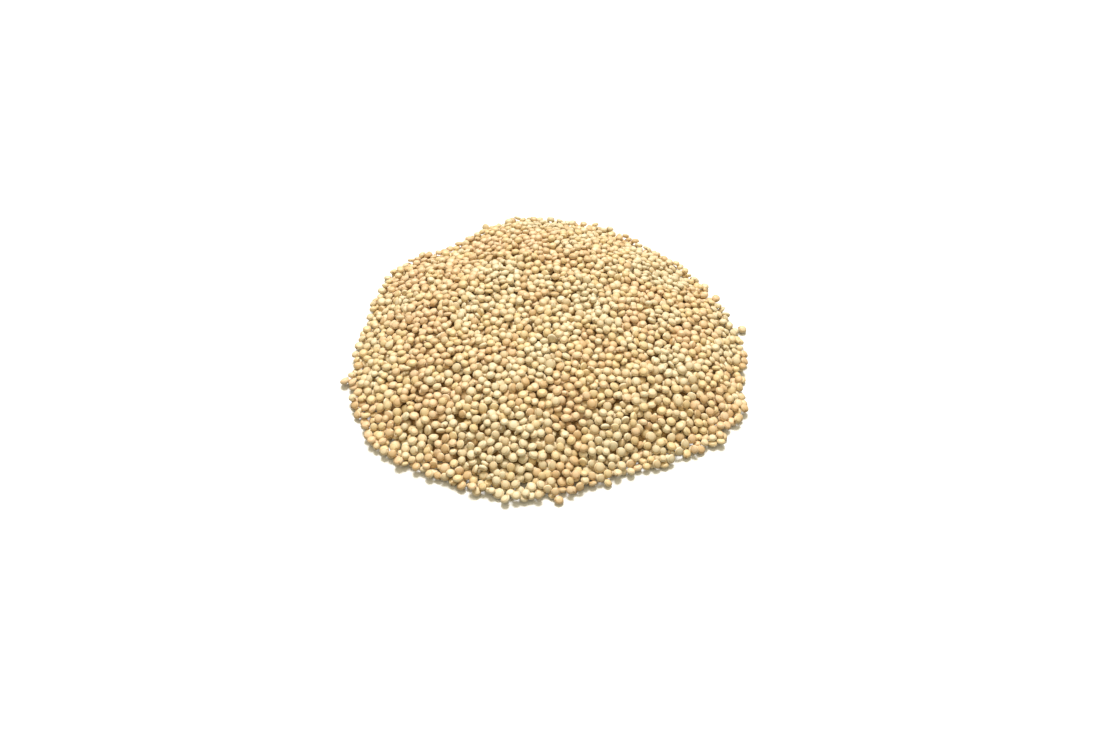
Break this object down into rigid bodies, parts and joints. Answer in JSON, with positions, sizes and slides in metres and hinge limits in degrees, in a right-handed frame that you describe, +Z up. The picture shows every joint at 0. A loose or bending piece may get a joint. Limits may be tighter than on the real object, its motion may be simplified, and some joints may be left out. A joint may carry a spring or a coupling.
{
  "type": "heap of quinoa",
  "caption": "Low heap of dry white quinoa grains as poured on a table, with an uneven rim and single grains standing out; lies on its flat underside",
  "frame": {"origin": "on the table, under the middle of the heap's bounding box", "axes": "+Z up, +Y towards the back of the heap (away from the camera of the picture), +X to the right"},
  "size_m": [0.0864, 0.0896, 0.0113],
  "materials": {
    "quinoa_grain": "dry, dull cream grains with a faint sheen"
  },
  "bodies": {
    "root": {"quinoa_heap": "quinoa_grain"}
  },
  "joints": []
}
